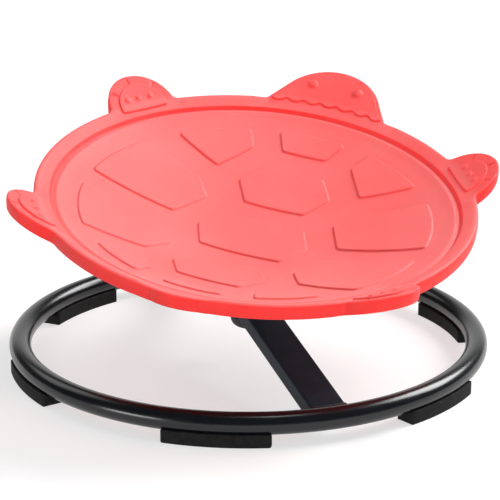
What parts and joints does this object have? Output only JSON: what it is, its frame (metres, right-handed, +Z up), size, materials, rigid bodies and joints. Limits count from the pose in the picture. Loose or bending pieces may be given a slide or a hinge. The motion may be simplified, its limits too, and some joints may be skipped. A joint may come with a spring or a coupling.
{
  "type": "toddler spinning seat",
  "caption": "Turtle-shaped coral plastic dish seat that spins freely on a leaning hub, on a black steel ring base with rubber pads.",
  "frame": {"origin": "point on the floor under the middle of the base ring", "axes": "+Z up; +Y along the cross bar towards its hidden end, uphill on the leaning seat; the seat leans towards -Y; +X to the right seen from -Y"},
  "size_m": [0.5725, 0.583, 0.2844],
  "materials": {
    "coral_plastic": "satin",
    "black_steel": "satin",
    "black_rubber": "matte",
    "black_plastic": "matte",
    "zinc_steel": "satin",
    "bearing_steel": "polished",
    "brass": "satin"
  },
  "bodies": {
    "base": {"base_ring": "black_steel", "cross_bar": "black_steel", "bearing_sleeve": "black_steel", "foot_1": "black_rubber", "foot_2": "black_rubber", "foot_3": "black_rubber", "foot_4": "black_rubber", "foot_5": "black_rubber", "foot_6": "black_rubber", "foot_screws": "zinc_steel", "sleeve_cap": "black_plastic", "circlip": "bearing_steel", "upper_outer_race": "bearing_steel", "lower_outer_race": "bearing_steel"},
    "seat": {"seat_shell": "coral_plastic", "spindle": "bearing_steel", "seat_plate": "black_steel", "seat_bolts": "zinc_steel", "bolt_washers": "zinc_steel", "thread_inserts": "brass", "dust_cover": "black_plastic", "upper_inner_race": "bearing_steel", "lower_inner_race": "bearing_steel", "bearing_spacer": "zinc_steel", "spindle_washer": "zinc_steel", "spindle_nut": "zinc_steel"},
    "upper_cage_set": {"upper_balls": "bearing_steel", "upper_cage": "brass"},
    "lower_cage_set": {"lower_balls": "bearing_steel", "lower_cage": "brass"}
  },
  "joints": [
    {"name": "seat_spin", "type": "hinge", "parent": "base", "child": "seat", "pos_m": [0, 0, 0.0687], "axis": [0, -0.2045, 0.9789], "continuous": true},
    {"name": "upper_cage_spin", "type": "hinge", "parent": "base", "child": "upper_cage_set", "pos_m": [0, 0, 0.0687], "axis": [0, -0.2045, 0.9789], "continuous": true},
    {"name": "lower_cage_spin", "type": "hinge", "parent": "base", "child": "lower_cage_set", "pos_m": [0, 0, 0.0687], "axis": [0, -0.2045, 0.9789], "continuous": true}
  ],
  "couplings": [
    {"joint": "upper_cage_spin", "follows": "seat_spin", "ratio": 0.38125},
    {"joint": "lower_cage_spin", "follows": "seat_spin", "ratio": 0.38125}
  ]
}
